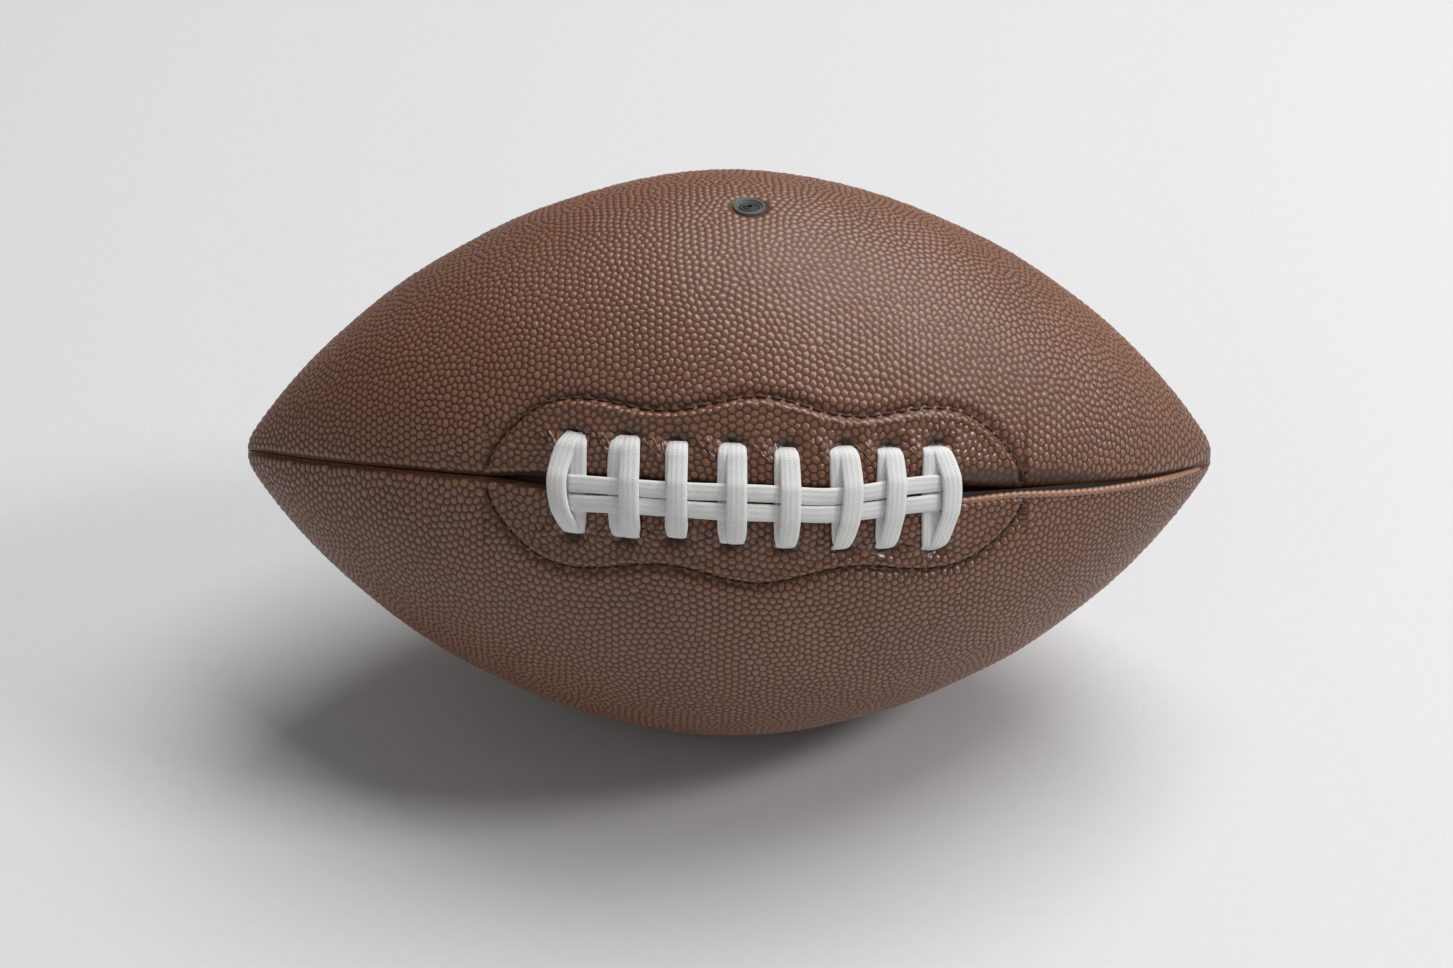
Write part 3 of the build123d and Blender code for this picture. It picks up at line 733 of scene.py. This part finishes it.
def cover_panel(name, start, seed, material):
    """One quarter of the cover: its pebbles, rolled-in edges, and what the lacing and the valve do to it."""
    has_valve = name == VALVE_PANEL
    ring = valve_points() if has_valve else np.zeros((0, 2))
    fixed = edge_points(start)
    seeds = relax(pebble_seeds(start, seed, has_valve), np.vstack([fixed, ring]), start)
    bm = pebble_cells(seeds, fixed, ring)
    s, theta, pebble = locate(places_of(bm.verts))
    x = at(TABLE_X, s)
    radius = np.maximum(at(TABLE_R, s), TIP_RADIUS)
    turn = np.mod(theta - start + pi, 2 * pi) - pi
    low_edge = np.maximum(turn, 0) * radius
    high_edge = np.maximum(PANEL_TURN - turn, 0) * radius
    body = smooth(*NOSE_FADE, radius)
    relief = np.clip(pebble / (PEBBLE_RISE + PEBBLE_CROWN), 0, 1)
    relief[[vert.is_boundary for vert in bm.verts]] = EDGE_RELIEF
    marks = {"relief": relief}
    height = (soft_waves(s, theta) - seam_drop(low_edge, s) - seam_drop(high_edge, s)) * body
    shift = SEAM_GAP / radius * (np.exp(-low_edge / SEAM_REACH * 2) - np.exp(-high_edge / SEAM_REACH * 2))
    laced = {"upper_front": (UPPER, low_edge, turn), "lower_front": (LOWER, high_edge, turn - PANEL_TURN)}
    if name in laced:
        side, edge, off = laced[name]
        rolled, smoothed_and_shaded = lip_roll(x, edge, side)
        height += lacing_relief(s, off) * smooth(0, LACING_FADE, edge) + rolled + lip_pucker(s, edge, side)
        shift += stray_turn(x, radius, off) + side * slit_half(x) / radius * np.exp(-edge / SLIT_SPREAD)
        # Painted shade: lower relief darkens the rolled band under the upper lip
        relief *= 1 - ROLL_PAINTED_SHADE * smoothed_and_shaded
        pebble *= 1 - SMOOTHED_PEBBLE_LOSS * smoothed_and_shaded
        marks.update(lacing_marks(s, edge, off, side))
    if has_valve:
        height += hump(from_valve(s, theta), *VALVE_DENT)
    pebble *= uneven_pebbles(x, theta) * (NOSE_PEBBLES + (1 - NOSE_PEBBLES) * body)
    pebble *= 1 - GLAZED_LOSS * marks.get("glaze", 0)
    places = surface(s, theta + shift, height + pebble - PEBBLE_SINK)
    places[:, 2] = np.maximum(places[:, 2], 0)
    for vert, place in zip(bm.verts, places):
        vert.co = place
    turn_in_edges(bm)
    piece = finish_piece(bm, "cover_" + name, material, "ball", ["panel_" + name])
    mark_leather(piece, marks)


# Sweeps

def heading(places):
    """Unit directions along a row of places."""
    return unit(np.gradient(places, axis=0))


def ribbon_ring(width):
    """Rounded flat section of the lace: places across and up."""
    ring = []
    for index in range(LACE_SIDES):
        turn = 2 * pi * (index + 0.5) / LACE_SIDES
        c = cos(turn)
        d = sin(turn)
        across = width / 2 * abs(c) ** 0.45 * (1 if c > 0 else -1)
        up = LACE_THICKNESS / 2 * abs(d) ** 0.75 * (1 if d > 0 else -1)
        ring.append((across, up))
    return ring


def round_ring(radius, sides):
    """Round section: places across and up."""
    return [(radius * cos(2 * pi * k / sides), radius * sin(2 * pi * k / sides)) for k in range(sides)]


def next_ring(bm, verts, loop):
    """Extrudes a ring of edges. Gives the new vertices, in the order of the old ones, and the new edges."""
    made = bmesh.ops.extrude_edge_only(bm, edges=loop)["geom"]
    beside = {}
    for vert in of_type(bmesh.types.BMVert, made):
        for edge in vert.link_edges:
            other = edge.other_vert(vert)
            if other in verts:
                beside[other] = vert
    return [beside[vert] for vert in verts], of_type(bmesh.types.BMEdge, made)


def sweep(bm, places, across, up, ring, scale=None):
    """Draws a ring along a row of places and closes both ends. Gives each vertex's way along and across."""
    sizes = np.ones(len(places)) if scale is None else scale
    marks = []
    length = 0.0
    for index, place in enumerate(places):
        spots = [Vector(place + (across[index] * a + up[index] * b) * sizes[index]) for a, b in ring]
        if index:
            length += float(np.linalg.norm(place - places[index - 1]))
            verts, loop = next_ring(bm, verts, loop)
            for vert, spot in zip(verts, spots):
                vert.co = spot
        else:
            verts = [bm.verts.new(spot) for spot in spots]
            loop = [bm.edges.new((verts[k], verts[(k + 1) % len(verts)])) for k in range(len(verts))]
            first = loop
        marks += [(length, a) for a, _ in ring]
    for edges in (first, loop):
        bmesh.ops.contextual_create(bm, geom=edges)
    return marks


def sweep_ribbon(bm, places, across, up, tilt, width, scale=None):
    """Draws the lace's flat section along a row of places, tilted about its run."""
    level = np.cos(tilt)[:, None]
    slope = np.sin(tilt)[:, None]
    leaned = across * level + up * slope
    raised = up * level - across * slope
    return sweep(bm, places, leaned, raised, ribbon_ring(width), scale)


# Lace

def pass_path(heights):
    """Shares of the way from the slit to the holes, below and above it, and a soft curve of heights there."""
    fine = np.linspace(-PASS_END, PASS_END, PASS_FINE_STEPS)
    shares, sizes = zip(*heights)
    curve = blurred(np.interp(np.abs(fine), shares, mm(*sizes)), PASS_BLUR)
    spread = np.linspace(-1, 1, PASS_STEPS)
    return spread, np.interp(spread, fine, curve)


def strand_sway(x):
    """How far the pair of strands lies above the slit's middle."""
    return np.interp(np.add.outer(x, STRAND_BLUR), STRAND_X, STRAND_SIZES).mean(axis=-1)


def lace_pass(bm, index, shape, heights, twist):
    """One pass across the slit, from a hole below it to the hole above."""
    top_shift, low_shift, bow = mm(*shape)
    share, height = pass_path(heights)
    crown = strand_sway(LACE_X[index]) / HOLES_ABOVE[index]
    height = np.interp(share - crown * (1 - share**4), share, height)
    reach = np.where(share > 0, HOLES_ABOVE[index], HOLES_BELOW[index]) * share
    station = LACE_X[index] + low_shift + (top_shift - low_shift) * (share + 1) / 2 + bow * (1 - share**2)
    s = s_of_x(station)
    theta = front_seam(station) + reach / at(TABLE_R, s)
    along, _, _ = frame_at(s, theta)
    places = surface(s, theta, height)
    forward = heading(places)
    across = unit(along - forward * np.sum(along * forward, axis=1)[:, None])
    tilt = twist * np.sin(TWIST_TURN * share)
    pinch = 1 - np.where(share > 0, PINCH_ABOVE, PINCH_BELOW) * smooth(*PINCH_SHARES, np.abs(share))
    return sweep_ribbon(bm, places, across, np.cross(forward, -across), tilt, LACE_WIDTH, pinch)


def lace_strand(bm, side):
    """One lengthwise strand, which dips at the passes and dives through the slit at both ends."""
    x = np.linspace(STRAND_LEFT, STRAND_RIGHT, STRAND_STEPS)
    dive = 1 - smooth(0, DIVE_LENGTH, np.minimum(x - STRAND_LEFT, STRAND_RIGHT - x))
    sway = STRAND_WAVE * np.sin(2 * pi * x / STRAND_WAVE_LENGTH + side)
    sway += strand_sway(x) * (1 - DIVE_STRAIGHTENS * dive)
    reach = side * (STRAND_WIDTH / 2 + STRAND_GAP) * (1 - DIVE_PINCH * dive) + sway
    press = np.max([bell(x, bar, STRAND_PRESS) for bar in LACE_X], axis=0)
    height = STRAND_HEIGHT + STRAND_ARCH * (1 - press) - DIVE_DEPTH * dive**DIVE_POWER
    s = s_of_x(x)
    theta = front_seam(x) + reach / at(TABLE_R, s)
    _, around, _ = frame_at(s, theta)
    places = surface(s, theta, height)
    tilt = STRAND_ROLL * np.sin(2 * pi * x / STRAND_ROLL_LENGTH + 2 * side) + side * DIVE_ROLL * dive
    return sweep_ribbon(bm, places, around, np.cross(heading(places), around), tilt, STRAND_WIDTH)


def lace(material):
    """The lace as it shows: two strands between an under and an over pass at every hole pair."""
    bm = bmesh.new()
    marks = []
    for index, shape in enumerate(UNDER_PASSES):
        marks += lace_pass(bm, index, shape, UNDER_HEIGHTS, UNDER_TWIST)
    for side in (UPPER, LOWER):
        marks += lace_strand(bm, side)
    for index, shape in enumerate(OVER_PASSES):
        marks += lace_pass(bm, index, shape, OVER_HEIGHTS, OVER_TWIST * shape[2])
    bmesh.ops.recalc_face_normals(bm, faces=bm.faces[:])
    bm.verts.index_update()
    piece = finish_piece(bm, "lace_webbing", material, "ball", ["lace"])
    for name, values in zip(("along", "across"), zip(*marks)):
        point_attribute(piece, name, values)


# Beaded seam lip

def seam_beads(material):
    """The lower lip of the front seam right of the lacing, pinched into beads by the stitches."""
    bm = bmesh.new()
    s = np.arange(float(s_of_x(BEAD_BAND[0])), float(s_of_x(BEAD_BAND[-1])), STITCH_PITCH / BEAD_STEPS)
    x = at(TABLE_X, s)
    theta = front_seam(x) - (slit_half(x) + BEAD_GAP) / at(TABLE_R, s)
    fade = band(x, *BEAD_BAND)
    swell = np.abs(np.sin(pi * s / STITCH_PITCH)) ** BEAD_POWER
    swell *= BEAD_END_SHARE + (1 - BEAD_END_SHARE) * fade
    places = surface(s, theta, BEAD_RISE * fade - BEAD_SINK)
    _, around, out = frame_at(s, theta)
    slant = around + heading(places) * BEAD_LEAN
    sweep(bm, places, slant, out, round_ring(BEAD_RADIUS, BEAD_SIDES), BEAD_WAIST + BEAD_SWELL * swell)
    bmesh.ops.recalc_face_normals(bm, faces=bm.faces[:])
    piece = finish_piece(bm, "seam_beads", material, "ball", ["panel_lower_front"])
    # Relief over 1 paints the beads paler: a painted highlight
    mark_leather(piece, {"relief": np.full(len(piece.data.vertices), BEAD_HIGHLIGHT_RELIEF)})


# Stitch rows

def stitch_row(name, side, material):
    """Thread that shows in the wavy row: one short stitch between each pair of holes."""
    bm = bmesh.new()
    end = ROW_STRAIGHT + ROW_HOOK_SHARE * ROW_HOOK
    x = np.linspace(ROW_X - end, ROW_X + end, ROW_SAMPLES)
    line = surface(s_of_x(x), front_seam(x) + side * row_reach(x) / RADIUS)
    run = np.concatenate([[0], np.cumsum(np.linalg.norm(np.diff(line, axis=0), axis=1))])
    count = int(run[-1] / ROW_PITCH)
    height = STITCH_BOW * np.cos(np.linspace(-pi / 2, pi / 2, STITCH_STEPS)) - STITCH_SINK
    for index in range(count):
        share = (index + 0.5 + np.linspace(-STITCH_SHARE, STITCH_SHARE, STITCH_STEPS)) / count
        station = np.interp(share * run[-1], run, x)
        s = s_of_x(station)
        off = side * row_reach(station) / RADIUS
        theta = FRONT_SEAM + off + stray_turn(station, at(TABLE_R, s), off)
        places = surface(s, theta, height)
        forward = heading(places)
        across = np.cross(forward, frame_at(s, theta)[2])
        sweep(bm, places, across, np.cross(across, forward), round_ring(THREAD_RADIUS, THREAD_SIDES))
    bmesh.ops.recalc_face_normals(bm, faces=bm.faces[:])
    finish_piece(bm, name, material, "ball", [name.replace("stitch_row", "patch_thread")])


# Valve

def turned_piece(name, profile, material, body, replaced):
    """A round piece, spun from its half section about the valve's upright axis."""
    top = AXIS_HEIGHT + float(section_radius(np.array(VALVE_X)))
    bm = bmesh.new()
    verts = [bm.verts.new((VALVE_X + radius * MM, 0, top + height * MM)) for radius, height in profile]
    edges = [bm.edges.new(pair) for pair in zip(verts, verts[1:])]
    bmesh.ops.spin(bm, geom=verts + edges, cent=(VALVE_X, 0, top), axis=(0, 0, 1), angle=2 * pi,
                   steps=SPIN_STEPS, use_merge=True)
    bmesh.ops.remove_doubles(bm, verts=bm.verts[:], dist=WELD_GAP)
    bmesh.ops.recalc_face_normals(bm, faces=bm.faces[:])
    finish_piece(bm, name, material, body, [replaced])


# Materials

# Sockets of a colour mix: share, first and second colour, and the mixed colour that comes out
MIX_INPUTS = (0, 6, 7)
MIX_OUTPUT = 2


class Value:
    """An output socket that can be used in sums."""

    def __init__(self, shader, socket):
        self.shader = shader
        self.socket = socket

    def _math(self, operation, left, right):
        return self.shader.node("ShaderNodeMath", {"operation": operation}, {0: left, 1: right})["Value"]

    def __add__(self, other):
        return self._math("ADD", self, other)

    __radd__ = __add__

    def __sub__(self, other):
        return self._math("SUBTRACT", self, other)

    def __rsub__(self, other):
        return self._math("SUBTRACT", other, self)

    def __mul__(self, other):
        return self._math("MULTIPLY", self, other)

    __rmul__ = __mul__

    def __pow__(self, other):
        return self._math("POWER", self, other)

    def __rpow__(self, other):
        return self._math("POWER", other, self)

    def sine(self):
        return self._math("SINE", self, 0)

    def size(self):
        return self._math("ABSOLUTE", self, 0)

    def below(self, other):
        return self._math("MINIMUM", self, other)

    def above(self, other):
        return self._math("MAXIMUM", self, other)


class Node:
    """A node whose outputs come out as values."""

    def __init__(self, shader, node):
        self.shader = shader
        self.node = node

    def __getitem__(self, name):
        return Value(self.shader, self.node.outputs[name])


class Shader:
    """A material and its nodes."""

    def __init__(self, name):
        self.material = bpy.data.materials.new(name)
        self.material.use_nodes = True
        self.tree = self.material.node_tree
        self.surface = self.tree.nodes["Principled BSDF"]

    def node(self, kind, settings=None, inputs=None):
        """Adds a node: its settings first, then the numbers or links of its sockets."""
        node = self.tree.nodes.new(kind)
        for name, value in (settings or {}).items():
            setattr(node, name, value)
        self.fill(node, inputs or {})
        return Node(self, node)

    def fill(self, node, inputs):
        """Sets or links sockets of a node."""
        for name, value in inputs.items():
            if isinstance(value, Value):
                self.tree.links.new(value.socket, node.inputs[name])
            else:
                node.inputs[name].default_value = value

    def finish(self, **inputs):
        """Sets the surface's sockets, written with underscores for spaces."""
        self.fill(self.surface, {name.replace("_", " "): value for name, value in inputs.items()})
        return self.material

    def place(self):
        return self.node("ShaderNodeTexCoord")["Object"]

    def attribute(self, name):
        return self.node("ShaderNodeAttribute", {"attribute_name": name})["Fac"]

    def noise(self, scale, detail=3.0, roughness=0.55):
        inputs = {"Vector": self.place(), "Scale": scale, "Detail": detail, "Roughness": roughness}
        return self.node("ShaderNodeTexNoise", None, inputs)["Fac"]

    def mix(self, share, first, second):
        """Blends two colours, each a value or three numbers."""
        colours = [colour if isinstance(colour, Value) else (*colour, 1) for colour in (first, second)]
        inputs = dict(zip(MIX_INPUTS, (share, *colours)))
        return self.node("ShaderNodeMix", {"data_type": "RGBA"}, inputs)[MIX_OUTPUT]

    def bump(self, height, distance, strength=1.0):
        inputs = {"Height": height, "Distance": distance, "Strength": strength}
        return self.node("ShaderNodeBump", None, inputs)["Normal"]


def dimmed(colour, share):
    """A colour at a share of its strength."""
    return tuple(part * share for part in colour)


def waves_of(value, length):
    """Sine waves of a given length along a value."""
    return (value * (2 * pi / length)).sine()


def cover_leather():
    """Waxed brown leather: painted shade between the pebbles, by the lace holes and in the seam roll, pebble
    tops paler from wear and smoother, painted highlights on the creases and seam beads.
    """
    shader = Shader("cover_leather")
    relief = shader.attribute("relief")
    glaze = shader.attribute("glaze")
    cloud = shader.noise(22.0, 4.0)
    grain = shader.noise(2600.0, 3.0, 0.6)
    speck = shader.noise(420.0, 2.0)
    gap = shader.attribute("bar_gap")
    out = shader.attribute("hole_out")
    reach = ((out + 6.5) * 0.6).above(0.0).below(1.0) * ((1.2 - out) * 0.6).above(0.0).below(1.0)
    crease = 0.0
    for start, slant, width, size in PAINTED_CREASES:
        line = (gap - start + (out + 1.0) * slant + (speck - 0.5) * 0.5).size()
        crease = (1.0 - line * (1 / width)).above(0.0) * size + crease
    crease = crease * reach
    body = shader.mix(cloud * 1.5 - 0.35, dimmed(LEATHER, 0.82), dimmed(LEATHER, 1.15))
    body = shader.mix(glaze * 0.45, body, dimmed(LEATHER, 0.62))
    top = shader.mix((relief ** 3) * (0.25 + speck * 0.5), body, LEATHER_WORN_AND_HIGHLIGHT)
    # Painted highlight: paler along the painted creases by the lace holes
    crease_highlit = shader.mix(crease * 0.45, top, LEATHER_WORN_AND_HIGHLIGHT)
    # Painted shade: darker between the pebbles, where the relief is low, and in the seam roll, whose relief
    # is lowered
    valley_shaded = shader.mix((1 - relief * 1.45).above(0.0) * 0.92, crease_highlit, LEATHER_PAINTED_SHADE)
    # Painted shade by the lace holes
    colour = shader.mix(shader.attribute("hole") * 0.85, valley_shaded, dimmed(LEATHER_PAINTED_SHADE, 0.35))
    rough = 0.57 - relief.below(1.0) * 0.28 - glaze * 0.12 - crease * 0.08 + (speck - 0.5) * 0.16
    height = grain * 0.045 + crease * 0.55
    return shader.finish(Base_Color=colour, Roughness=rough, Normal=shader.bump(height, MM, 0.8),
                         Specular_IOR_Level=0.5, Coat_Weight=relief.below(1.0) * 0.5, Coat_Roughness=0.26)


def lace_webbing():
    """White flat-woven lace: fine ribs along it, crossed by its weft."""
    shader = Shader("lace_webbing")
    along = shader.attribute("along")
    across = shader.attribute("across")
    rib = waves_of(across, 1.45 * MM)
    chevron = waves_of(along + across.size() * 0.7, 0.72 * MM)
    yarn = waves_of(across, 0.48 * MM)
    weave = rib * 0.42 + chevron * 0.38 + chevron * yarn * 0.2
    cloud = shader.noise(160.0, 3.0)
    fuzz = shader.noise(5200.0, 2.0)
    shade = (weave * 0.22 + 0.55) + (cloud - 0.5) * 0.5
    colour = shader.mix(shade, LACE_SHADED, LACE_WHITE)
    height = weave * 0.7 + fuzz * 0.6
    return shader.finish(Base_Color=colour, Roughness=0.80 - weave * 0.06, Specular_IOR_Level=0.3,
                         Normal=shader.bump(height, 0.16 * MM, 0.8), Sheen_Weight=0.15)


def moulded_rubber(name, colour):
    """Dark moulded rubber with a dusty bloom."""
    shader = Shader(name)
    dust = shader.noise(900.0, 4.0)
    fine = shader.noise(4200.0, 2.0)
    dusty = shader.mix((dust - 0.35) * 1.2, colour, tuple(part * 1.7 + 0.01 for part in colour))
    return shader.finish(Base_Color=dusty, Roughness=0.52 + dust * 0.2,
                         Normal=shader.bump(fine, 0.05 * MM, 0.5))


def waxed_thread():
    """Waxed brown thread with its twist."""
    shader = Shader("thread")
    strand = shader.noise(1800.0, 2.0)
    colour = shader.mix(strand, THREAD_DARK, THREAD_BROWN)
    return shader.finish(Base_Color=colour, Roughness=0.45 + strand * 0.2,
                         Normal=shader.bump(strand, 0.1 * MM, 0.6))


def woven_cloth(name, colour):
    """Plain woven lining."""
    shader = Shader(name)
    place = shader.node("ShaderNodeSeparateXYZ", None, {"Vector": shader.place()})
    weave = waves_of(place["X"], 0.9 * MM) * waves_of(place["Y"] + place["Z"], 0.9 * MM) * 0.5 + 0.5
    woven = shader.mix(weave, dimmed(colour, 0.6), colour)
    return shader.finish(Base_Color=woven, Roughness=0.8 + weave * 0.1,
                         Normal=shader.bump(weave, 0.2 * MM, 0.6))


def smooth_leather(name, colour):
    """Plain leather or vinyl behind the lacing."""
    shader = Shader(name)
    cloud = shader.noise(90.0, 4.0)
    grain = shader.noise(1500.0, 3.0)
    clouded = shader.mix(cloud, dimmed(colour, 0.65), colour)
    return shader.finish(Base_Color=clouded, Roughness=0.5 + cloud * 0.2,
                         Normal=shader.bump(grain, 0.1 * MM, 0.5))


def dress_inner_nodes(thread):
    """Gives the solids that still show their own finish; the lining's dark colour is painted shade."""
    finishes = {"lining": woven_cloth("lining_cloth", LINING_SHADE_DARK),
                "bladder": moulded_rubber("bladder_rubber", BLADDER_RUBBER),
                "lace_patch": smooth_leather("patch_leather", PATCH_LEATHER),
                "lace_tongue": smooth_leather("tongue_vinyl", TONGUE_VINYL),
                "seam_thread": thread}
    for name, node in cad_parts.items():
        for start, finish in finishes.items():
            if name.startswith(start):
                node.data.materials.clear()
                node.data.materials.append(finish)


# Stage, light and camera

def pale_floor():
    """Plain pale floor, the shade of the photograph's table."""
    bm = bmesh.new()
    bmesh.ops.create_grid(bm, x_segments=1, y_segments=1, size=FLOOR_HALF)
    mesh = bpy.data.meshes.new("floor")
    bm.to_mesh(mesh)
    bm.free()
    shader = Shader("floor")
    speck = shader.noise(260.0, 2.0)
    colour = shader.mix(speck, FLOOR_DARK, FLOOR_LIGHT)
    mesh.materials.append(shader.finish(Base_Color=colour, Roughness=0.6 + speck * 0.05))
    floor = bpy.data.objects.new("floor", mesh)
    bpy.context.scene.collection.objects.link(floor)


def softbox(name, place, size, power):
    """A rectangular lamp that looks at the ball's middle."""
    lamp = bpy.data.lights.new(name, "AREA")
    lamp.shape = "RECTANGLE"
    lamp.size, lamp.size_y = size
    lamp.energy = power
    box = bpy.data.objects.new(name, lamp)
    box.location = place
    box.rotation_euler = (Vector((0, 0, AXIS_HEIGHT)) - Vector(place)).to_track_quat("-Z", "Y").to_euler()
    bpy.context.scene.collection.objects.link(box)


def light_studio():
    """Soft key from above and behind, a small box from the right, a weak fill from the front, a dim room."""
    for name, (place, size, power) in LAMPS.items():
        softbox(name, place, size, power)
    world = bpy.data.worlds.new("studio")
    world.use_nodes = True
    room = world.node_tree.nodes["Background"]
    room.inputs["Color"].default_value = ROOM_COLOUR
    room.inputs["Strength"].default_value = ROOM_STRENGTH
    bpy.context.scene.world = world


def sideways(back):
    """Level direction to the right of a view, and its upward one. back points from the view to the eye."""
    right = Vector((0, 0, 1)).cross(back).normalized()
    return right, back.cross(right)


def photo_camera():
    """Camera that sees the ball as the photograph does."""
    middle = Vector((0, 0, AXIS_HEIGHT))
    flat = cos(CAMERA_HEIGHT)
    toward = Vector((-sin(CAMERA_TURN) * flat, -cos(CAMERA_TURN) * flat, sin(CAMERA_HEIGHT)))
    place = middle + toward * CAMERA_DISTANCE
    right, up = sideways(toward)
    scale = CAMERA_DISTANCE / FOCAL_PIXELS
    across = (BALL_PIXEL[0] - PHOTO_WIDTH / 2) * scale
    above = (PHOTO_HEIGHT / 2 - BALL_PIXEL[1]) * scale
    back = (place - (middle - right * across - up * above)).normalized()
    turn = Matrix((*sideways(back), back)).transposed().to_4x4()
    lens = bpy.data.cameras.new("camera")
    lens.sensor_width = SENSOR_WIDTH
    lens.lens = FOCAL_PIXELS / PHOTO_WIDTH * SENSOR_WIDTH
    lens.clip_start = CAMERA_NEAREST
    camera = bpy.data.objects.new("camera", lens)
    camera.matrix_world = Matrix.Translation(place) @ turn @ Matrix.Rotation(CAMERA_ROLL, 4, "Z")
    bpy.context.scene.collection.objects.link(camera)
    bpy.context.scene.camera = camera


leather = cover_leather()
for index, panel in enumerate(PANELS):
    cover_panel(panel, FRONT_SEAM + index * PANEL_TURN, FIRST_SEED + index, leather)
seam_beads(leather)
lace(lace_webbing())
stitching = waxed_thread()
stitch_row("stitch_row_upper", UPPER, stitching)
stitch_row("stitch_row_lower", LOWER, stitching)
turned_piece("valve_ring", HOUSING_PROFILE, moulded_rubber("valve_rubber", HOUSING_RUBBER),
             "ball", "valve_housing")
turned_piece("valve_core", PLUG_PROFILE, moulded_rubber("plug_rubber", PLUG_RUBBER),
             "plug", "valve_plug")
dress_inner_nodes(stitching)
pale_floor()
light_studio()
photo_camera()

view = bpy.context.scene.view_settings
view.view_transform = "Standard"
